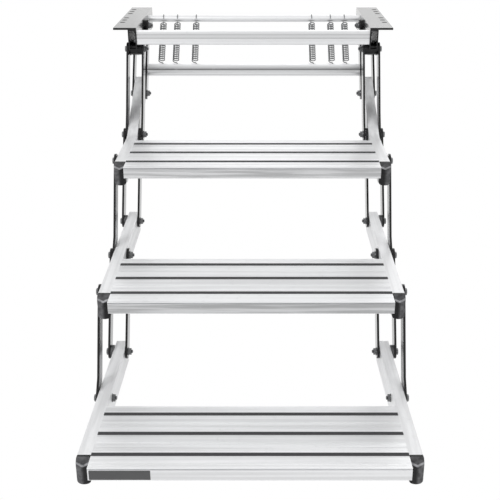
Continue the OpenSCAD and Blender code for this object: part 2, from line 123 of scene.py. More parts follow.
class StepSizes(bpy.types.PropertyGroup):
    """Sizes that a user may change."""

    edge_round: FloatProperty(
        name="Edge rounding",
        description="Radius of the worn edges of plates and tubes",
        default=0.5 * MM,
        min=0.1 * MM,
        max=1.5 * MM,
        unit="LENGTH",
    )
    wire: FloatProperty(
        name="Spring wire",
        description="Diameter of the spring wire",
        default=2.6 * MM,
        min=1.5 * MM,
        max=3.5 * MM,
        unit="LENGTH",
    )
    coil: FloatProperty(
        name="Spring coil",
        description="Outer diameter of a spring",
        default=17.8 * MM,
        min=12 * MM,
        max=20 * MM,
        unit="LENGTH",
    )
    turns: IntProperty(
        name="Spring turns", description="Turns in each spring", default=20, min=8, max=30
    )
    folded_spring: FloatProperty(
        name="Folded spring length",
        description="Length of a spring in the folded step, as a share of its length at rest",
        default=0.567,
        min=0.3,
        max=1.0,
        subtype="FACTOR",
    )
    floor_drop: FloatProperty(
        name="Floor",
        description="Depth of the floor below the lowest tread",
        default=260 * MM,
        min=10 * MM,
        max=600 * MM,
        unit="LENGTH",
    )


def colour(name, description, value):
    """A colour setting."""
    return FloatVectorProperty(
        name=name, description=description, subtype="COLOR", size=3, min=0, max=1, default=value
    )


class StepColours(bpy.types.PropertyGroup):
    """Colours that a user may change."""

    powder: colour("Powder coat", "Black coat of the brackets and links", (0.005, 0.005, 0.0055))
    alloy: colour("Aluminium", "Natural anodised aluminium", (0.83, 0.835, 0.845))
    zinc: colour("Zinc", "Zinc plating of the bolts", (0.12, 0.122, 0.125))
    wire: colour("Spring wire", "Drawn spring wire", (0.2, 0.205, 0.21))
    rubber: colour("Grip strips", "Ribbed rubber strips", (0.032, 0.032, 0.034))
    plastic: colour("Plastic", "Moulded spacer discs", (0.034, 0.034, 0.036))
    caps: colour("End caps", "Moulded end caps", (0.012, 0.012, 0.0125))
    floor: colour("Floor", "Pale studio floor", (0.93, 0.93, 0.93))


# Shader groups


def add(tree, kind, feed=None, **settings):
    """Adds a node with its settings; feed gives sockets or constants for its inputs."""
    node = tree.nodes.new(kind)
    for key, value in settings.items():
        setattr(node, key, value)
    for key, value in (feed or {}).items():
        if isinstance(value, bpy.types.NodeSocket):
            tree.links.new(value, node.inputs[key])
        else:
            node.inputs[key].default_value = value
    return node


def noise(tree, vector, scale, detail, roughness=0.5):
    """Noise value at a place."""
    feed = {"Vector": vector, "Scale": scale, "Detail": detail, "Roughness": roughness}
    return add(tree, "ShaderNodeTexNoise", feed).outputs["Fac"]


def ranged(tree, value, low, high, to_low=0.0, to_high=1.0, **settings):
    """Maps a value from one range to another, and stops it at the ends."""
    feed = {"Value": value, "From Min": low, "From Max": high, "To Min": to_low, "To Max": to_high}
    return add(tree, "ShaderNodeMapRange", feed, **settings).outputs["Result"]


def calculate(tree, operation, *values, **settings):
    """Result of a math node."""
    feed = dict(enumerate(values))
    return add(tree, "ShaderNodeMath", feed, operation=operation, **settings).outputs[0]


def object_place(tree):
    """Object coordinates."""
    return add(tree, "ShaderNodeTexCoord").outputs["Object"]


def stretched_place(tree, into):
    """Object coordinates times the group's Stretch input."""
    feed = {0: object_place(tree), 1: into["Stretch"]}
    return add(tree, "ShaderNodeVectorMath", feed, operation="MULTIPLY").outputs[0]


def surface_marks(tree, into):
    """Fine die lines along the stretched coordinates, broad shade changes and light scuffs."""
    lines = ranged(tree, noise(tree, stretched_place(tree, into), 1.0, 3.0), 0.3, 0.7)
    feed = {0: into["Line contrast"], 2: 0.5, 3: lines}
    scuffs = noise(tree, object_place(tree), 55.0, 8.0, 0.7)
    return {
        "Lines": add(tree, "ShaderNodeMix", feed, data_type="FLOAT").outputs[0],
        "Clouds": noise(tree, object_place(tree), into["Cloud scale"], 4.0),
        "Scuffs": ranged(tree, scuffs, 0.58, 0.78),
    }


def streaks_and_painted_reflections(tree, into):
    """Broad light and dark streaks that run along an extrusion, partly painted reflection."""
    wide = noise(tree, stretched_place(tree, into), 1.0, 2.5)
    return {"Streaks": ranged(tree, wide, 0.36, 0.64, interpolation_type="SMOOTHSTEP")}


def painted_reflection_band(tree, into):
    """Mask of one painted reflection band along a tube, by height from the tube's lowest to its
    highest line.
    """
    axes = add(tree, "ShaderNodeSeparateXYZ", {0: object_place(tree)})
    height = ranged(tree, axes.outputs["Z"], into["Bottom"], into["Top"])
    away = calculate(tree, "ABSOLUTE", calculate(tree, "SUBTRACT", height, into["Band at"]))
    near = ranged(tree, away, 0.0, into["Band width"], 1.0, 0.0, interpolation_type="SMOOTHSTEP")
    return {"Band": near}


def edge_wear_and_painted_highlight(tree, into):
    """Mask of the outer edges, from the shape's pointiness, broken up by noise; used for edge wear
    and for painted highlights.
    """
    pointed = add(tree, "ShaderNodeNewGeometry").outputs["Pointiness"]
    broken = calculate(
        tree,
        "MULTIPLY",
        ranged(tree, pointed, 0.52, 0.62),
        noise(tree, object_place(tree), 180.0, 3.0),
    )
    return {"Edge": calculate(tree, "MULTIPLY", broken, into["Amount"], use_clamp=True)}


def fine_grain(tree, into):
    """Height of the fine grain of powder coat, moulded plastic and rubber."""
    return {"Height": noise(tree, object_place(tree), into["Scale"], 2.0)}


def facing(tree, into):
    """Mask of the surface that looks one way, for painted light; X points outwards on either side
    of the step.
    """
    place = add(tree, "ShaderNodeTexCoord").outputs
    point = add(tree, "ShaderNodeSeparateXYZ", {0: place["Object"]}).outputs
    normal = add(tree, "ShaderNodeSeparateXYZ", {0: place["Normal"]}).outputs
    outward = calculate(tree, "MULTIPLY", normal["X"], calculate(tree, "SIGN", point["X"]))
    feed = {"X": outward, "Y": normal["Y"], "Z": normal["Z"]}
    mirrored = add(tree, "ShaderNodeCombineXYZ", feed).outputs[0]
    feed = {0: mirrored, 1: into["Direction"]}
    match = add(tree, "ShaderNodeVectorMath", feed, operation="DOT_PRODUCT").outputs["Value"]
    low, high = into["Low"], into["High"]
    return {"Mask": ranged(tree, match, low, high, interpolation_type="SMOOTHSTEP")}


# Name of each group, the function that fills it and its inputs with their default values
GROUPS = {
    "marks": (
        "Surface marks",
        surface_marks,
        {"Stretch": (2.0, 900.0, 900.0), "Line contrast": 0.5, "Cloud scale": 9.0},
    ),
    "streaks": ("Die streaks", streaks_and_painted_reflections, {"Stretch": (0.6, 90.0, 90.0)}),
    "band": (
        "Drawn band",
        painted_reflection_band,
        {"Bottom": 0.0, "Top": 1.0, "Band at": 0.55, "Band width": 0.12},
    ),
    "edge": ("Worn edge", edge_wear_and_painted_highlight, {"Amount": 0.5}),
    "grain": ("Fine grain", fine_grain, {"Scale": 1500.0}),
    "facing": ("Facing", facing, {"Direction": (1.0, 0.0, 0.0), "Low": 0.7, "High": 1.0}),
}
built_groups = {}


def build_group(name, fill, inputs):
    """Makes a shader node group with its inputs, its nodes and its outputs."""
    group = bpy.data.node_groups.new(name, "ShaderNodeTree")
    for label, value in inputs.items():
        kind = "NodeSocketVector" if isinstance(value, tuple) else "NodeSocketFloat"
        socket = group.interface.new_socket(label, in_out="INPUT", socket_type=kind)
        socket.default_value = value
    results = fill(group, group.nodes.new("NodeGroupInput").outputs)
    for label in results:
        group.interface.new_socket(label, in_out="OUTPUT", socket_type="NodeSocketFloat")
    add(group, "NodeGroupOutput", results)
    return group


def use_group(tree, key, **values):
    """Places one of the shared effects in a material and returns its outputs."""
    if key not in built_groups:
        built_groups[key] = build_group(*GROUPS[key])
    feed = {label.replace("_", " "): value for label, value in values.items()}
    return add(tree, "ShaderNodeGroup", feed, node_tree=built_groups[key]).outputs


def blend_colours(tree, mask, first, second):
    """Mixes two colours by a mask."""
    ends = (v if isinstance(v, bpy.types.NodeSocket) else (*v, 1) for v in (first, second))
    feed = {0: mask, **dict(zip((6, 7), ends))}
    return add(tree, "ShaderNodeMix", feed, data_type="RGBA").outputs[2]


def spread(tree, mask, low, high):
    """Maps a mask between two values."""
    return ranged(tree, mask, 0.0, 1.0, low, high)


def scaled(rgb, factor):
    """A colour made lighter or darker."""
    return tuple(min(1.0, c * factor) for c in rgb)


def new_material(name, setting=None, metallic=0.0, specular=0.5, coat=0.0):
    """A material, its tree and Principled shader, and the colour that its setting holds."""
    material = bpy.data.materials.new(name)
    material.use_nodes = True
    tree = material.node_tree
    shader = tree.nodes["Principled BSDF"]
    for label, value in (
        ("Metallic", metallic),
        ("Specular IOR Level", specular),
        ("Coat Weight", coat),
        ("Coat Roughness", 0.12),
        ("Coat IOR", 1.25),
    ):
        shader.inputs[label].default_value = value
    rgb = getattr(bpy.context.scene.step_colours, setting) if setting else ()
    return material, tree, shader, tuple(rgb)


def bump(tree, shader, height, strength, distance):
    """Feeds a height to the shader's normal."""
    feed = {"Strength": strength, "Distance": distance, "Height": height}
    node = add(tree, "ShaderNodeBump", feed)
    tree.links.new(node.outputs["Normal"], shader.inputs["Normal"])


def surface(tree, shader, shade, mask, smooth, rough, grain=None):
    """Feeds the shader a colour, a roughness spread by a mask, and a fine grain where given."""
    tree.links.new(shade, shader.inputs["Base Color"])
    tree.links.new(spread(tree, mask, smooth, rough), shader.inputs["Roughness"])
    if grain:
        scale, strength, distance = grain
        height = use_group(tree, "grain", Scale=scale)["Height"]
        bump(tree, shader, height, strength, distance)


# Finishes


def powder_coat():
    """Satin black powder coat with a faint orange peel and rubbed edges."""
    material, tree, shader, rgb = new_material(
        "Black powder coat", "powder", specular=0.12, coat=1.0
    )
    marks = use_group(tree, "marks", Stretch=(60.0, 60.0, 60.0), Cloud_scale=14.0)
    edge = use_group(tree, "edge", Amount=0.1)["Edge"]
    shade = blend_colours(tree, marks["Clouds"], rgb, scaled(rgb, 2.0))
    edge_wear_and_highlight = blend_colours(tree, edge, shade, (0.06, 0.06, 0.06))
    surface(tree, shader, edge_wear_and_highlight, marks["Scuffs"], 0.13, 0.28, (420.0, 0.16, 0.0004))
    return material


def anodised_aluminium(
    name, stretch, streaks, dark, light=1.08, metallic=0.6, box=None, bands=()
):
    """Natural anodised extrusion: die lines, streaks that are partly painted reflection, painted
    reflection bands along it, clouds and scuffs.
    """
    material, tree, shader, rgb = new_material("Aluminium, " + name, "alloy", metallic=metallic)
    marks = use_group(tree, "marks", Stretch=stretch, Line_contrast=0.8, Cloud_scale=5.0)
    # Streaks along the extrusion, partly painted reflection
    streak_mask = use_group(tree, "streaks", Stretch=streaks)["Streaks"]
    shade = blend_colours(tree, streak_mask, scaled(rgb, dark), scaled(rgb, light))
    # Painted reflection bands at given heights across the tube
    for at, width, factor in bands:
        band = use_group(tree, "band", Bottom=box[0].z, Top=box[1].z, Band_at=at, Band_width=width)
        shade = blend_colours(tree, band["Band"], shade, scaled(rgb, factor))
    shade = blend_colours(tree, spread(tree, marks["Lines"], 0.0, 0.35), shade, scaled(rgb, 0.86))
    shade = blend_colours(tree, spread(tree, marks["Scuffs"], 0.0, 0.6), shade, scaled(rgb, 0.8))
    surface(tree, shader, shade, marks["Clouds"], 0.32, 0.44)
    bump(tree, shader, marks["Lines"], 0.1, 0.0002)
    return material


def bright_zinc():
    """Bright zinc plating with a faint blue passivation."""
    material, tree, shader, rgb = new_material("Bright zinc", "zinc", metallic=1.0)
    marks = use_group(tree, "marks", Stretch=(300.0, 300.0, 300.0), Cloud_scale=60.0)
    shade = blend_colours(tree, marks["Clouds"], rgb, scaled(rgb, 1.25))
    scuffed = blend_colours(tree, marks["Scuffs"], shade, scaled(rgb, 0.75))
    surface(tree, shader, scuffed, marks["Lines"], 0.2, 0.34)
    return material


def spring_wire():
    """Drawn wire with a slightly oily shade."""
    material, tree, shader, rgb = new_material("Spring wire", "wire", metallic=1.0)
    marks = use_group(tree, "marks", Stretch=(500.0, 500.0, 500.0), Cloud_scale=40.0)
    shade = blend_colours(tree, marks["Clouds"], scaled(rgb, 0.7), scaled(rgb, 1.3))
    surface(tree, shader, shade, marks["Scuffs"], 0.28, 0.42)
    return material


def ribbed_rubber():
    """Dull black rubber, dusty in its clouds."""
    material, tree, shader, rgb = new_material("Grip strip rubber", "rubber")
    marks = use_group(tree, "marks", Stretch=(40.0, 700.0, 700.0), Cloud_scale=20.0)
    shade = blend_colours(tree, marks["Clouds"], rgb, scaled(rgb, 1.7))
    surface(tree, shader, shade, marks["Clouds"], 0.55, 0.75, (2600.0, 0.2, 0.0002))
    return material


def moulded_plastic():
    """Black moulded plastic with a fine spark-eroded grain and painted highlights along its edges.
    """
    material, tree, shader, rgb = new_material("Moulded plastic", "plastic")
    marks = use_group(tree, "marks", Stretch=(80.0, 80.0, 80.0), Cloud_scale=30.0)
    edge = use_group(tree, "edge", Amount=1.0)["Edge"]
    shade = blend_colours(tree, marks["Clouds"], rgb, scaled(rgb, 1.5))
    # Painted highlight along the edges
    edge_wear_and_highlight = blend_colours(tree, edge, shade, scaled(rgb, 7.0))
    surface(tree, shader, edge_wear_and_highlight, marks["Scuffs"], 0.26, 0.4, (3200.0, 0.15, 0.0002))
    return material


# Painted light on the caps by facing direction: direction, match where it starts and is full, how
# much lighter
CAP_PAINTED_LIGHT = (
    ((0.8, -0.6, 0.0), 0.45, 1.0, 17.0),  # outer flank
    ((0.0, -0.68, 0.73), 0.9, 0.99, 9.0),  # brow
    ((0.0, -0.9, 0.43), 0.94, 0.99, 40.0),  # rounded edge below the brow
)


def caps_with_painted_highlights():
    """Black moulded plastic with painted light on the brow and outer flank and a painted highlight
    on the edge between.
    """
    material, tree, shader, rgb = new_material("Rubbed caps", "caps", specular=0.2)
    marks = use_group(tree, "marks", Stretch=(80.0, 80.0, 80.0), Cloud_scale=110.0)
    shade = blend_colours(tree, marks["Clouds"], rgb, scaled(rgb, 1.8))
    patches = spread(tree, marks["Clouds"], -1.0, 2.0)
    # Painted light on the flank and brow and a painted highlight on the edge, broken into patches
    for direction, low, high, factor in CAP_PAINTED_LIGHT:
        mask = use_group(tree, "facing", Direction=direction, Low=low, High=high)["Mask"]
        light = blend_colours(tree, patches, scaled(rgb, 0.4 * factor), scaled(rgb, factor))
        shade = blend_colours(tree, mask, shade, light)
    surface(tree, shader, shade, marks["Scuffs"], 0.26, 0.4, (3200.0, 0.15, 0.0002))
    return material


def plain_foil():
    """Dark foil, slightly mottled, under a clear film."""
    material, tree, shader, _ = new_material("Bare foil", coat=0.6)
    marks = use_group(tree, "marks", Stretch=(90.0, 90.0, 90.0), Cloud_scale=35.0)
    shade = blend_colours(tree, marks["Clouds"], (0.055, 0.056, 0.058), (0.085, 0.086, 0.088))
    surface(tree, shader, shade, marks["Scuffs"], 0.3, 0.5)
    return material


FINE_X = (3.0, 1100.0, 1100.0)
FINE_Y = (1100.0, 3.0, 1100.0)
FINISHES = {
    "powder": powder_coat,
    "plank": lambda: anodised_aluminium("deck planks", FINE_X, (1.6, 70.0, 110.0), dark=0.9),
    # Darker copy of the plank aluminium for the front faces: painted shade
    "fascia": lambda: anodised_aluminium(
        "plank fronts", FINE_X, (5.0, 90.0, 190.0), dark=0.5, light=0.86
    ),
    "rail": lambda: anodised_aluminium(
        "rails", FINE_Y, (90.0, 1.4, 90.0), dark=0.92, metallic=0.3
    ),
    "tube": lambda: anodised_aluminium("rear tube", FINE_X, (0.5, 90.0, 90.0), dark=0.75),
    "spring_bar": lambda: anodised_aluminium(
        "spring bar",
        FINE_X,
        (0.4, 75.0, 75.0),
        dark=0.9,
        metallic=0.95,
        box=SPRING_BAR,
        # Painted reflection bands: height across the bar, width, how much lighter or darker
        bands=((0.74, 0.26, 0.6), (0.64, 0.12, 0.08), (0.2, 0.1, 0.7)),
    ),
    "member": lambda: anodised_aluminium(
        "cross member",
        FINE_X,
        (0.5, 60.0, 210.0),
        dark=0.93,
        box=FRONT_MEMBER,
        # Painted reflection bands: height across the member, width, how much lighter or darker
        bands=((0.62, 0.3, 0.82), (0.74, 0.09, 0.66), (0.48, 0.08, 0.6)),
    ),
    "zinc": bright_zinc,
    "wire": spring_wire,
    "rubber": ribbed_rubber,
    "plastic": moulded_plastic,
    "caps": caps_with_painted_highlights,
    "foil": plain_foil,
}
built_finishes = {}


def finish(key):
    """One of the finishes, built once."""
    if key not in built_finishes:
        built_finishes[key] = FINISHES[key]()
    return built_finishes[key]


# Mesh helpers


def along_x(x, y, z, outward):
    """Places a shape made round the Z axis so that Z runs outwards along X from the point."""
    turn = Matrix(((0, 0, outward, 0), (0, 1, 0, 0), (-outward, 0, 0, 0), (0, 0, 0, 1)))
    return Matrix.Translation((x, y, z)) @ turn


def soften_edges(obj, width):
    """Rounds a frame node's sharp edges by modifiers, after merging its points and flat faces."""
    merge = obj.modifiers.new("Merge", "WELD")
    merge.merge_threshold = 0.02 * MM
    flat = obj.modifiers.new("Flat faces", "DECIMATE")
    flat.decimate_type = "DISSOLVE"
    flat.angle_limit = math.radians(0.8)
    round_off = obj.modifiers.new("Rounded edges", "BEVEL")
    round_off.width = width
    round_off.segments = 2
    round_off.limit_method = "ANGLE"
    round_off.angle_limit = math.radians(32)
    round_off.use_clamp_overlap = True
    even = obj.modifiers.new("Even shading", "WEIGHTED_NORMAL")
    even.keep_sharp = True


def dress(node, key, width):
    """Gives a frame node its finish and rounds its edges."""
    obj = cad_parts[node]
    obj.data.materials.clear()
    obj.data.materials.append(finish(key))
    soften_edges(obj, width)


def piece(name, bm, key, body, nodes=(), smooth=40):
    """Makes an object from a bmesh with its finish, puts it on its body and hides the nodes it
    stands for.
    """
    bmesh.ops.recalc_face_normals(bm, faces=bm.faces)
    mesh = bpy.data.meshes.new(name)
    bm.to_mesh(mesh)
    bm.free()
    mesh.shade_smooth()
    mesh.set_sharp_from_angle(angle=math.radians(smooth))
    mesh.materials.append(finish(key))
    obj = bpy.data.objects.new(name, mesh)
    bpy.context.scene.collection.objects.link(obj)
    even = obj.modifiers.new("Even shading", "WEIGHTED_NORMAL")
    even.keep_sharp = True
    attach(obj, body)
    if nodes:
        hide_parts(*nodes)
    return obj


def sharp_edges(within, degrees):
    """Edges of the given faces that turn by more than the angle."""
    limit = math.radians(degrees)
    edges = {e for f in within for e in f.edges}
    return [e for e in edges if len(e.link_faces) == 2 and e.calc_face_angle() > limit]


def bevel(bm, edges, width, segments=2):
    """Bevels edges with a round profile."""
    return bmesh.ops.bevel(
        bm,
        geom=list(edges),
        offset=width,
        offset_type="OFFSET",
        segments=segments,
        profile=0.5,
        affect="EDGES",
        clamp_overlap=True,
        material=-1,
    )


def faces_of(verts):
    """Faces that touch the given vertices."""
    return {f for v in verts for f in v.link_faces}


def turned_disc(bm, matrix, radius, top_radius, height, segments=40, edge=0.0):
    """A closed cylinder or cone from z 0 up, placed by the matrix, its edges bevelled."""
    made = bmesh.ops.create_cone(
        bm,
        cap_ends=True,
        cap_tris=False,
        segments=segments,
        radius1=radius,
        radius2=top_radius,
        depth=height,
        matrix=matrix @ Matrix.Translation((0, 0, height / 2)),
    )
    if edge:
        rims = sharp_edges(faces_of(made["verts"]), 50 if segments > 8 else 30)
        bevel(bm, rims, edge)
    return made["verts"]


def block(bm, low, high):
    """A box between two corners."""
    low, high = Vector(low), Vector(high)
    bmesh.ops.create_cube(
        bm,
        size=1.0,
        matrix=Matrix.Translation((low + high) / 2) @ Matrix.Diagonal((*(high - low), 1)),
    )


# Pivots and bolts

HEX = 15.0 * MM
FLANGE = 18.0 * MM


def crown(faces, matrix):
    """The face that lies furthest along the matrix's Z axis."""
    down = matrix.inverted()
    return max(faces, key=lambda f: (down @ f.calc_center_median()).z)


def hex_head(bm, matrix):
    """Flanged hexagon head with a domed flange, chamfered corners and a dished top."""
    turned_disc(bm, matrix, FLANGE / 2, FLANGE / 2 - 0.5 * MM, 0.9 * MM, edge=0.2 * MM)
    dome = matrix @ Matrix.Translation((0, 0, 0.9 * MM))
    turned_disc(bm, dome, FLANGE / 2 - 0.7 * MM, HEX / 2, 0.7 * MM)
    seat = matrix @ Matrix.Translation((0, 0, 1.2 * MM))
    head = turned_disc(bm, seat, HEX / 2, HEX / 2, 3.8 * MM, 6)
    rim = bevel(bm, crown(faces_of(head), matrix).edges, 0.7 * MM, 3)["faces"]
    top = crown({f for b in rim for e in b.edges for f in e.link_faces}, matrix)
    bmesh.ops.inset_region(bm, faces=[top], thickness=1.6 * MM, depth=-0.35 * MM)


def nut_and_end(bm, matrix, thickness=6.8 * MM, tail=3.0 * MM):
    """Flange nut from z 0 up, with the chamfered, threaded bolt end standing out of it."""
    turned_disc(bm, matrix, FLANGE / 2, FLANGE / 2 - 0.6 * MM, 1.3 * MM, edge=0.25 * MM)
    seat = matrix @ Matrix.Translation((0, 0, 1.0 * MM))
    nut = turned_disc(bm, seat, HEX / 2, HEX / 2, thickness - 1.0 * MM, 6)
    bevel(bm, crown(faces_of(nut), matrix).edges, 0.6 * MM, 2)
    pitch, root = 1.2 * MM, 3.5 * MM
    for k in range(3):
        turn = matrix @ Matrix.Translation((0, 0, thickness + (k - 1) * pitch))
        turned_disc(bm, turn, root, BOLT_R, pitch / 2, 24)
        half_turn = turn @ Matrix.Translation((0, 0, pitch / 2))
        turned_disc(bm, half_turn, BOLT_R, root, pitch / 2, 24)
    end = matrix @ Matrix.Translation((0, 0, thickness + tail - pitch))
    turned_disc(bm, end, 3.6 * MM, 2.9 * MM, pitch, 24)


def pivot_bolt(bm, sign, at, head_x, nut_x):
    """Bolt through a pivot: head outside at head_x, shank, and nut inside at nut_x."""
    hex_head(bm, along_x(sign * head_x, at.y, at.z, sign))
    shank = along_x(sign * (nut_x - 6 * MM), at.y, at.z, sign)
    turned_disc(bm, shank, BOLT_R, BOLT_R, head_x - nut_x + 6.5 * MM, 24)
    nut_and_end(bm, along_x(sign * nut_x, at.y, at.z, -sign))


# Faces that bolt heads and nuts lie on
ON_LINK_1 = LINK_OUTER_1[1].x
ON_LINK_2 = LINK_OUTER_2[1].x
IN_LINK_1 = LINK_INNER_1[0].x
IN_LINK_2 = LINK_INNER_2[0].x
OUT_1, OUT_2 = ON_LINK_1 + FACE_GAP, ON_LINK_2 + FACE_GAP
IN_1, IN_2 = IN_LINK_1 - FACE_GAP, IN_LINK_2 - FACE_GAP
IN_RAIL = RAIL_OUT - RAIL_WALL


def pivots():
    """Every pivot of the step, in the YZ plane, worked out from the boxes of the links."""
    ends = {}
    for link, upper, lower in (
        ("upper_front_link_outer", "frame_front", None),
        ("upper_rear_link_outer", "frame_rear", "top_rear"),
        ("middle_front_link", "top_front", "middle_mid"),
        ("middle_rear_link_outer", "top_mid", "middle_rear"),
        ("bottom_front_link", "middle_front", "bottom_mid"),
        ("bottom_rear_link_outer", None, "bottom_rear"),
    ):
        ends[upper], ends[lower] = link_ends(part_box(link + "_right"))
    return {name: at for name, at in ends.items() if name}


PIVOTS = pivots()
# For each node its body, and its bolts by pivot, face of the head and face of the nut
BOLT_SETS = {
    "frame_bolts": ("frame", (("frame_front", OUT_1, IN_2), ("frame_rear", OUT_1, IN_1))),
    "upper_rear_bolts": ("upper_rear_links", (("top_rear", ON_LINK_1, IN_LINK_1),)),
    "top_bolts": ("tread_1", (("top_mid", OUT_2, IN_2), ("top_front", OUT_1, IN_RAIL))),
    "middle_bolts": (
        "tread_2",
        (
            ("middle_mid", OUT_2, IN_1),
            ("middle_front", OUT_1, IN_RAIL),
            ("middle_rear", OUT_2, IN_1),
        ),
    ),
    "bottom_bolts": ("tread_3", (("bottom_mid", OUT_1, RAIL_IN), ("bottom_rear", OUT_2, IN_1))),
}


class STEP_OT_bolts(bpy.types.Operator):
    """Flanged bolts, nuts and the screws of the cross members"""

    bl_idname = "entry_step.bolts"
    bl_label = "Bolts"

    def execute(self, context):
        tube, member = middle(REAR_TUBE), middle(FRONT_MEMBER)
        screws = [
            (member.y, FRONT_MEMBER[1].z - SCREW_INSET),
            (member.y, FRONT_MEMBER[0].z + SCREW_INSET),
            (tube.y, tube.z),
        ]
        for node, (body, places) in BOLT_SETS.items():
            bm = bmesh.new()
            for sign in SIDES.values():
                for pivot, head_x, nut_x in places:
                    pivot_bolt(bm, sign, PIVOTS[pivot], head_x, nut_x)
                if node == "frame_bolts":
                    for y, z in screws:
                        seat = along_x(sign * (FRONT_MEMBER[1].x + 3 * MM), y, z, sign)
                        head = turned_disc(bm, seat, 5.5 * MM, 5.5 * MM, 3.4 * MM, 6)
                        bevel(bm, sharp_edges(faces_of(head), 40), 0.4 * MM)
                if node == "upper_rear_bolts":
                    at = PIVOTS["top_rear"]
                    for x in (RAIL_OUT + FACE_GAP, RAIL_IN - FACE_GAP - DISC_THICK):
                        seat = along_x(sign * x, at.y, at.z, sign)
                        turned_disc(bm, seat, DISC_R, DISC_R, DISC_THICK, 48, 0.25 * MM)
            piece(node + "_detail", bm, "zinc", body, [node])
        return {"FINISHED"}


# Steelwork


class STEP_OT_brackets(bpy.types.Operator):
    """Powder-coated mounting brackets with their weld beads"""

    bl_idname = "entry_step.brackets"
    bl_label = "Brackets"

    def execute(self, context):
        width = context.scene.step_sizes.edge_round
        for side, sign in SIDES.items():
            dress("bracket_" + side, "powder", width)
            bm = bmesh.new()
            for name in ("frame_front", "frame_rear"):
                self.weld_ring(bm, sign, PIVOTS[name])
            piece("weld_beads_" + side, bm, "powder", "frame")
        return {"FINISHED"}

    def weld_ring(self, bm, sign, at):
        """Bead where a pivot boss meets the outer wall of the channel."""
        x = sign * CHANNEL_OUT
        place = Matrix.Translation((x, at.y, at.z - LUG_R)) @ Matrix.Rotation(math.pi / 2, 4, "X")
        ring = bmesh.ops.create_circle(bm, segments=10, radius=1.7 * MM, matrix=place)["verts"]
        edges = {e for v in ring for e in v.link_edges}
        bmesh.ops.spin(
            bm,
            geom=[*ring, *edges],
            cent=(x, at.y, at.z),
            axis=(1, 0, 0),
            angle=math.tau,
            steps=56,
            use_merge=True,
            use_duplicate=False,
        )


class STEP_OT_links(bpy.types.Operator):
    """Flat bar links between the brackets and treads"""

    bl_idname = "entry_step.links"
    bl_label = "Links"

    def execute(self, context):
        width = context.scene.step_sizes.edge_round
        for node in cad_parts:
            if "_link_" in node:
                dress(node, "powder", width)
        return {"FINISHED"}


class STEP_OT_cross_members(bpy.types.Operator):
    """Front cross member, rear tube and spring bar"""

    bl_idname = "entry_step.cross_members"
    bl_label = "Cross members"

    def execute(self, context):
        width = context.scene.step_sizes.edge_round
        dress("front_cross_member", "member", width)
        dress("rear_cross_tube", "tube", width)
        dress("spring_bar", "spring_bar", width)
        return {"FINISHED"}


# Springs

WIRE_BEND = 3 * MM
COIL_FROM_HOOK, COIL_FROM_BAR = 6 * MM, 12 * MM
TAIL = 9 * MM


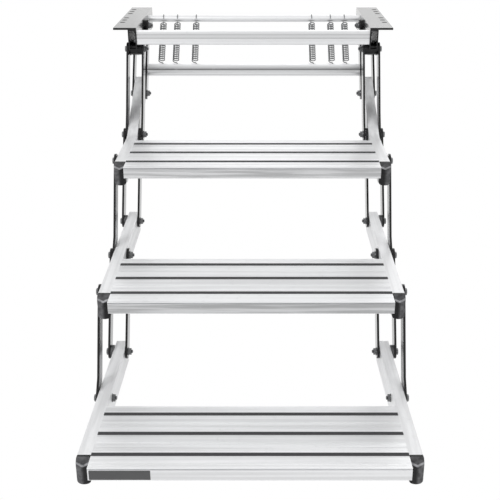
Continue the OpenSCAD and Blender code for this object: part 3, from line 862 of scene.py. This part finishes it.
class STEP_OT_springs(bpy.types.Operator):
    """Extension springs: hook over the rear tube, close coil, tail into the spring bar"""

    bl_idname = "entry_step.springs"
    bl_label = "Springs"

    def execute(self, context):
        sizes = context.scene.step_sizes
        top, foot = middle(REAR_TUBE), middle(SPRING_BAR)
        run = Vector((0, foot.y - top.y, foot.z - top.z))
        self.axis, length = run.normalized(), run.length
        self.up = Vector((0, -self.axis.z, self.axis.y))
        self.wire, self.radius = sizes.wire, (sizes.coil - sizes.wire) / 2
        self.turns = sizes.turns
        self.hand = 1 if self.axis.cross(self.up).x > 0 else -1
        self.hook = (REAR_TUBE[1].z - REAR_TUBE[0].z) / 2 + self.wire / 2 + FACE_GAP
        self.begin = self.hook + COIL_FROM_HOOK
        bar = (SPRING_BAR[1].z - SPRING_BAR[0].z) / 2
        self.end = length - bar - COIL_FROM_BAR
        for node in sorted(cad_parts):
            if not node.startswith("spring_") or node == "spring_bar":
                continue
            centre = Vector((middle(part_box(node)).x, top.y, top.z))
            for part, bm in (("_coil", self.coil(centre)), ("_hook", self.upper_hook(centre))):
                made = piece(node + part, bm, "wire", "springs", [node], 60)
                if part == "_coil":
                    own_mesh(made)
        return {"FINISHED"}

    def sweep(self, bm, face, cent, axis, angle, steps, climb=Vector()):
        """Spins the end face and returns the new end face."""
        made = bmesh.ops.spin(
            bm,
            geom=[face, *face.edges, *face.verts],
            cent=cent,
            axis=axis,
            dvec=climb,
            angle=angle,
            steps=steps,
            use_merge=False,
            use_duplicate=False,
        )
        return next(g for g in made["geom_last"] if isinstance(g, bmesh.types.BMFace))

    def push(self, bm, face, by):
        """Extrudes the end face by a vector and returns the new end face."""
        made = bmesh.ops.extrude_face_region(bm, geom=[face])
        verts = [g for g in made["geom"] if isinstance(g, bmesh.types.BMVert)]
        bmesh.ops.translate(bm, verts=verts, vec=by)
        return next(g for g in made["geom"] if isinstance(g, bmesh.types.BMFace))

    def wire_end(self, centre):
        """A new bmesh with the round end of the wire where the coil starts, and its place."""
        at = centre + self.axis * self.begin + self.up * self.radius
        rows = [(*row, 0) for row in zip(self.axis, self.up, Vector((1, 0, 0)))]
        bm = bmesh.new()
        bmesh.ops.create_circle(
            bm,
            cap_ends=True,
            segments=10,
            radius=self.wire / 2,
            matrix=Matrix.Translation(at) @ Matrix([*rows, (0, 0, 0, 1)]),
        )
        return bm, next(iter(bm.faces)), at

    def coil(self, centre):
        """The turns of one spring and the tail that runs into the spring bar."""
        bm, last, at = self.wire_end(centre)
        steps = 22 * self.turns
        run = self.axis * (self.end - self.begin)
        last = self.sweep(bm, last, centre, self.axis, math.tau * self.turns, steps, run / steps)
        knee = at + run + self.axis * WIRE_BEND
        last = self.sweep(bm, last, knee, self.up, math.pi / 2, 6)
        inward = self.up * self.radius * 0.8 + Vector((self.hand, 0, 0)) * WIRE_BEND
        self.push(bm, last, self.axis * TAIL - inward)
        return bm

    def upper_hook(self, centre):
        """The hook of one spring round the rear tube."""
        bm, last, at = self.wire_end(centre)
        last = self.sweep(bm, last, at - self.axis * WIRE_BEND, self.up, math.pi / 2, 6)
        outward = self.up * (self.hook - self.radius) + Vector((self.hand, 0, 0)) * WIRE_BEND
        last = self.push(bm, last, outward - self.axis * (self.begin - WIRE_BEND))
        self.sweep(bm, last, centre, Vector((1, 0, 0)), self.hand * math.radians(215), 20)
        return bm


# Treads

TREADS = {"top": "tread_1", "middle": "tread_2", "bottom": "tread_3"}


class STEP_OT_rails(bpy.types.Operator):
    """Rail tubes and their spacer discs"""

    bl_idname = "entry_step.rails"
    bl_label = "Rails"

    def execute(self, context):
        width = context.scene.step_sizes.edge_round
        for tread in TREADS:
            for side in SIDES:
                dress(f"{tread}_rail_{side}", "rail", 2 * width)
            dress(f"{tread}_spacers", "plastic", 0.6 * width)
        return {"FINISHED"}


def tread_place(tread):
    """Matrix from a tread's nosing, on its top face, to the step: the bottom tread leans."""
    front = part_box(tread + "_plank_front")
    if tread != "bottom":
        return Matrix.Translation((0, front[0].y, front[1].z))
    nose_y = front[0].y + PLANK_HIGH * MM * math.sin(BOTTOM_LEAN)
    return Matrix.Translation((0, nose_y, front[1].z)) @ Matrix.Rotation(-BOTTOM_LEAN, 4, "X")


# Deck planks, in millimetres: seams and strips as distances from the nosing of a tread
PLANK_HIGH = 26.0
PLANK_SEAMS = {"front": (0.0, 65.3), "middle": (65.3, 132.0), "rear": (132.0, 205.0)}
STRIP_AT = {"front": 42.2, "middle": 108.9, "rear": 175.6}
STRIP_WIDTH, STRIP_DEEP, STRIP_RIBS = 9.6, 2.0, 5


def groove(at, width, depth):
    """Outline points of a groove with sloped walls in the top of a plank."""
    slope = min(0.3, width / 3)
    near, far = at - width / 2, at + width / 2
    return [(near, 0), (near + slope, -depth), (far - slope, -depth), (far, 0)]


def plank_outline(place):
    """Cross section of a plank as points forward to back over the top, then under it."""
    first, last = PLANK_SEAMS[place]
    strip = STRIP_AT[place]
    lip, foot = 0.7, 0.8 - PLANK_HIGH
    if place == "front":
        # Shallow front recess, the groove under the nose, the rounded nose and its line
        outline = [(0, foot), (0, foot + 0.6), (0.3, foot + 0.9), (0.3, -4.6), (0, -4.3), (0, -3.7)]
        outline += [(2.2, -3.3), (2.2, -1.5), (0, -1.2), (0, -0.9), (0.3, -0.3), (0.9, 0)]
        outline += groove(8, 1.2, 0.5)
    else:
        outline = [(first + 0.15, foot), (first + 0.15, -lip), (first + 0.8, 0)]
        outline += groove(first + 5, 1.0, 0.5)
    outline += groove(first + 14, 1.0, 0.5)
    for at in (first + 19, first + 22, first + 25):
        if at < strip - 9:
            outline += groove(at, 0.7, 0.15)
    near, far = strip - STRIP_WIDTH / 2, strip + STRIP_WIDTH / 2
    outline += [(near - 0.7, 0), (near - 0.2, -0.2), (near, -0.2), (near, -STRIP_DEEP)]
    outline += [(far, -STRIP_DEEP), (far, -0.2), (far + 0.2, -0.2), (far + 0.7, 0)]
    outline += groove(last - 11, 1.0, 0.5) + groove(last - 5, 1.0, 0.5)
    outline += [(last - 0.8, 0), (last - 0.15, -lip), (last - 0.15, foot)]
    return [*outline, (last - 0.9, -PLANK_HIGH), (first + 0.9, -PLANK_HIGH)]


def strip_outline(at):
    """Cross section of a grip strip: a flat foot in its groove and ribs above the deck."""
    near, far = at - STRIP_WIDTH / 2, at + STRIP_WIDTH / 2
    rib = (STRIP_WIDTH - 0.8) / STRIP_RIBS
    outline = [(near, -STRIP_DEEP), (near, 0.2)]
    for k in range(STRIP_RIBS):
        start = near + 0.4 + k * rib
        outline += [(start, 0.35), (start + 0.3, 1)]
        outline += [(start + rib - 0.3, 1), (start + rib - 0.02, 0.35)]
    return [*outline, (far, 0.2), (far, -STRIP_DEEP)]


def extruded(bm, outline, half_length):
    """Adds a prism along X from an outline in millimetres."""
    end = bm.faces.new([bm.verts.new((-half_length, y * MM, z * MM)) for y, z in outline])
    made = bmesh.ops.extrude_face_region(bm, geom=[end], use_keep_orig=True)
    verts = [g for g in made["geom"] if isinstance(g, bmesh.types.BMVert)]
    bmesh.ops.translate(bm, verts=verts, vec=(2 * half_length, 0, 0))


class STEP_OT_decks(bpy.types.Operator):
    """Extruded deck planks with beads along their seams and grooves for the grip strips"""

    bl_idname = "entry_step.decks"
    bl_label = "Decks"

    def execute(self, context):
        for tread, body in TREADS.items():
            for name in PLANK_SEAMS:
                bm = bmesh.new()
                extruded(bm, plank_outline(name), RAIL_IN)
                bmesh.ops.transform(bm, matrix=tread_place(tread), verts=bm.verts)
                node = f"{tread}_plank_{name}"
                plank = piece(node + "_extrusion", bm, "plank", body, [node], 50)
                # The front faces of the upper front planks take the darker copy of the aluminium:
                # painted shade
                if name == "front" and tread != "bottom":
                    plank.data.materials.append(finish("fascia"))
                    for face in plank.data.polygons:
                        face.material_index = int(face.normal.y < -0.9)
        return {"FINISHED"}


class STEP_OT_plate(bpy.types.Operator):
    """Bare foil plate on the front of the bottom tread"""

    bl_idname = "entry_step.plate"
    bl_label = "Bare plate"

    def execute(self, context):
        bm = bmesh.new()
        left, width = -RAIL_IN + 2.5 * MM, 109 * MM
        block(bm, (left, 0.02 * MM, -24.2 * MM), (left + width, 0.32 * MM, -4.8 * MM))
        corners = [e for e in bm.edges if abs(e.verts[0].co.y - e.verts[1].co.y) > 0.1 * MM]
        bevel(bm, corners, 0.8 * MM, 3)
        bmesh.ops.transform(bm, matrix=tread_place("bottom"), verts=bm.verts)
        piece("bare_plate", bm, "foil", TREADS["bottom"])
        return {"FINISHED"}


class STEP_OT_grip_strips(bpy.types.Operator):
    """Ribbed grip strips in the planks"""

    bl_idname = "entry_step.grip_strips"
    bl_label = "Grip strips"

    def execute(self, context):
        for tread, body in TREADS.items():
            bm = bmesh.new()
            for at in STRIP_AT.values():
                extruded(bm, strip_outline(at), RAIL_IN)
            bmesh.ops.transform(bm, matrix=tread_place(tread), verts=bm.verts)
            node = tread + "_grip_strips"
            piece(tread + "_ribbed_strips", bm, "rubber", body, [node], 50)
        return {"FINISHED"}


def cut(bm, at, outwards):
    """Cuts away what lies outside a plane and closes the cut."""
    made = bmesh.ops.bisect_plane(
        bm,
        geom=[*bm.verts, *bm.edges, *bm.faces],
        dist=0.01 * MM,
        plane_co=at,
        plane_no=outwards,
        clear_outer=True,
    )
    edges = [g for g in made["geom_cut"] if isinstance(g, bmesh.types.BMEdge)]
    bmesh.ops.contextual_create(bm, geom=edges)


CAP_LIP, CAP_LENGTH, CAP_CHEEK = 0.8 * MM, 18.5 * MM, 14 * MM
CAP_FOOT_R, CAP_TOP_R, CAP_BROW_R, CAP_EDGE_R = 6.5 * MM, 2.5 * MM, 4 * MM, 1.6 * MM
CAP_WALL, CAP_PLUG = 2.8 * MM, 17 * MM


class STEP_OT_end_caps(bpy.types.Operator):
    """Moulded end caps: keel-shaped front, sloped brow and rounded foot"""

    bl_idname = "entry_step.end_caps"
    bl_label = "End caps"

    def execute(self, context):
        for tread, body in TREADS.items():
            place = tread_place(tread)
            bm = bmesh.new()
            for sign in SIDES.values():
                self.cap(bm, place, sign)
            piece(tread + "_caps", bm, "caps", body, [tread + "_end_caps"], 50)
        return {"FINISHED"}

    def cap(self, whole, place, sign):
        """One cap: a block with a rounded foot, cut by planes to its keel and brow."""
        low = Vector((RAIL_IN, NOSING - CAP_LENGTH, -RAIL_HIGH - CAP_LIP))
        high = Vector((RAIL_OUT + CAP_LIP, NOSING, CAP_LIP))
        ridge = (low.x + high.x) / 2
        bm = bmesh.new()
        block(bm, low, high)
        bevel(bm, self.corners(bm, -1), CAP_FOOT_R, 6)
        bevel(bm, self.corners(bm, 1), CAP_TOP_R, 3)
        for side, edge_x in ((-1, low.x), (1, high.x)):
            sideways = Vector((side * (CAP_LENGTH - CAP_CHEEK), -abs(edge_x - ridge), 0))
            cut(bm, Vector((edge_x, NOSING - CAP_CHEEK, 0)), sideways.normalized())
        brow_up = Vector((0, -12, 13)).normalized()
        cut(bm, Vector((ridge, NOSING - 5 * MM, CAP_LIP)), brow_up)
        brow = max(bm.faces, key=lambda f: f.normal.dot(brow_up))
        front = [brow, *(f for f in bm.faces if f.normal.y < -0.9)]
        between = [e for e in bm.edges if all(f in front for f in e.link_faces)]
        bevel(bm, between, CAP_BROW_R, 6)
        edges = [
            e
            for e in bm.edges
            if len(e.link_faces) == 2
            and e.calc_face_angle() > math.radians(20)
            and any(v.co.y < NOSING - 0.5 * MM for v in e.verts)
        ]
        bevel(bm, edges, CAP_EDGE_R, 3)
        rear = [f for f in bm.faces if f.normal.y > 0.99]
        bmesh.ops.inset_region(bm, faces=rear, thickness=CAP_WALL)
        plug = bmesh.ops.extrude_face_region(bm, geom=rear)
        verts = [g for g in plug["geom"] if isinstance(g, bmesh.types.BMVert)]
        bmesh.ops.translate(bm, verts=verts, vec=(0, CAP_PLUG, 0))
        bmesh.ops.delete(bm, geom=rear, context="FACES_ONLY")
        if sign < 0:
            bmesh.ops.scale(bm, verts=bm.verts, vec=(-1, 1, 1))
            bmesh.ops.reverse_faces(bm, faces=bm.faces)
        bmesh.ops.transform(bm, matrix=place, verts=bm.verts)
        mesh = bpy.data.meshes.new("cap")
        bm.to_mesh(mesh)
        bm.free()
        whole.from_mesh(mesh)
        bpy.data.meshes.remove(mesh)

    def corners(self, bm, up):
        """The block's edges from front to back, at its top (1) or at its foot (-1)."""
        level = sum(v.co.z for v in bm.verts) / len(bm.verts)
        return [
            e
            for e in bm.edges
            if abs(e.verts[0].co.y - e.verts[1].co.y) > 5 * MM
            and (e.verts[0].co.z - level) * up > 20 * MM
        ]


# Stage


class STEP_OT_stage(bpy.types.Operator):
    """Pale floor, soft lamps, white surroundings and the camera"""

    bl_idname = "entry_step.stage"
    bl_label = "Stage"

    def execute(self, context):
        self.floor(context)
        self.surroundings(context)
        self.lamps(context)
        self.camera(context)
        context.scene.view_settings.view_transform = "Standard"
        return {"FINISHED"}

    def floor(self, context):
        bm = bmesh.new()
        level = cad_box[0].z - context.scene.step_sizes.floor_drop
        bmesh.ops.create_grid(
            bm, x_segments=1, y_segments=1, size=9.0, matrix=Matrix.Translation((0, 0, level))
        )
        mesh = bpy.data.meshes.new("floor")
        bm.to_mesh(mesh)
        bm.free()
        material = bpy.data.materials.new("Pale floor")
        material.use_nodes = True
        tree = material.node_tree
        shader = tree.nodes["Principled BSDF"]
        shader.inputs["Base Color"].default_value = (*context.scene.step_colours.floor, 1)
        shader.inputs["Roughness"].default_value = 0.9
        white = add(tree, "ShaderNodeEmission", {"Strength": 1.0})
        feed = {0: self.seen_white(tree), 1: shader.outputs[0], 2: white.outputs[0]}
        mix = add(tree, "ShaderNodeMixShader", feed)
        tree.links.new(mix.outputs[0], tree.nodes["Material Output"].inputs["Surface"])
        mesh.materials.append(material)
        obj = bpy.data.objects.new("floor", mesh)
        context.scene.collection.objects.link(obj)

    def seen_white(self, tree):
        """1 for what the camera sees straight or in metal, 0 for what lights the object."""
        path = add(tree, "ShaderNodeLightPath").outputs
        return calculate(tree, "MAXIMUM", path["Is Camera Ray"], path["Is Glossy Ray"])

    def surroundings(self, context):
        world = bpy.data.worlds.new("Studio")
        context.scene.world = world
        world.use_nodes = True
        tree = world.node_tree
        back = tree.nodes["Background"]
        back.inputs["Color"].default_value = (1, 1, 1, 1)
        tree.links.new(spread(tree, self.seen_white(tree), 0.62, 1.0), back.inputs["Strength"])

    def lamps(self, context):
        aim = Vector((0, -0.45, -0.35))
        for name, at, size, power in (
            ("key", (-2.2, -2.2, 1.9), 1.8, 44),
            ("fill", (2.4, -1.8, 1.2), 2.5, 10),
            ("back", (0.2, 2.6, 1.5), 2.0, 12),
        ):
            data = bpy.data.lights.new(name, "AREA")
            data.size, data.energy = size, power
            lamp = bpy.data.objects.new(name, data)
            lamp.location = at
            lamp.rotation_euler = (aim - Vector(at)).to_track_quat("-Z", "Y").to_euler()
            context.scene.collection.objects.link(lamp)

    def camera(self, context):
        data = bpy.data.cameras.new("photo view")
        data.sensor_width, data.lens, data.shift_x = 36.0, 59.97, -0.023
        data.clip_start, data.clip_end = 0.05, 50
        camera = bpy.data.objects.new("photo view", data)
        camera.location = (0.0206, -2.2859, 0.3563)
        camera.rotation_euler = (math.radians(90 - 24.57), 0, 0)
        context.scene.collection.objects.link(camera)
        context.scene.camera = camera


# Panel and registration

OPERATORS = (
    STEP_OT_brackets,
    STEP_OT_cross_members,
    STEP_OT_links,
    STEP_OT_springs,
    STEP_OT_rails,
    STEP_OT_decks,
    STEP_OT_grip_strips,
    STEP_OT_plate,
    STEP_OT_end_caps,
    STEP_OT_bolts,
    STEP_OT_stage,
)


class STEP_PT_panel(bpy.types.Panel):
    """Sizes, colours and building steps of the entry step"""

    bl_label = "Entry step"
    bl_idname = "STEP_PT_panel"
    bl_space_type = "VIEW_3D"
    bl_region_type = "UI"
    bl_category = "Entry step"

    def draw(self, context):
        column = self.layout.column()
        for settings in (context.scene.step_sizes, context.scene.step_colours):
            for key in settings.bl_rna.properties.keys():
                if key not in ("rna_type", "name"):
                    column.prop(settings, key)
        for operator in OPERATORS:
            column.operator(operator.bl_idname)


CLASSES = (StepSizes, StepColours, *OPERATORS, STEP_PT_panel)


def register():
    for cls in CLASSES:
        bpy.utils.register_class(cls)
    bpy.types.Scene.step_sizes = PointerProperty(type=StepSizes)
    bpy.types.Scene.step_colours = PointerProperty(type=StepColours)


def unregister():
    del bpy.types.Scene.step_colours
    del bpy.types.Scene.step_sizes
    for cls in reversed(CLASSES):
        bpy.utils.unregister_class(cls)


def main():
    """Builds every piece in order."""
    register()
    for operator in OPERATORS:
        group, name = operator.bl_idname.split(".")
        getattr(getattr(bpy.ops, group), name)()
    bpy.context.view_layer.update()


if __name__ == "__main__":
    main()
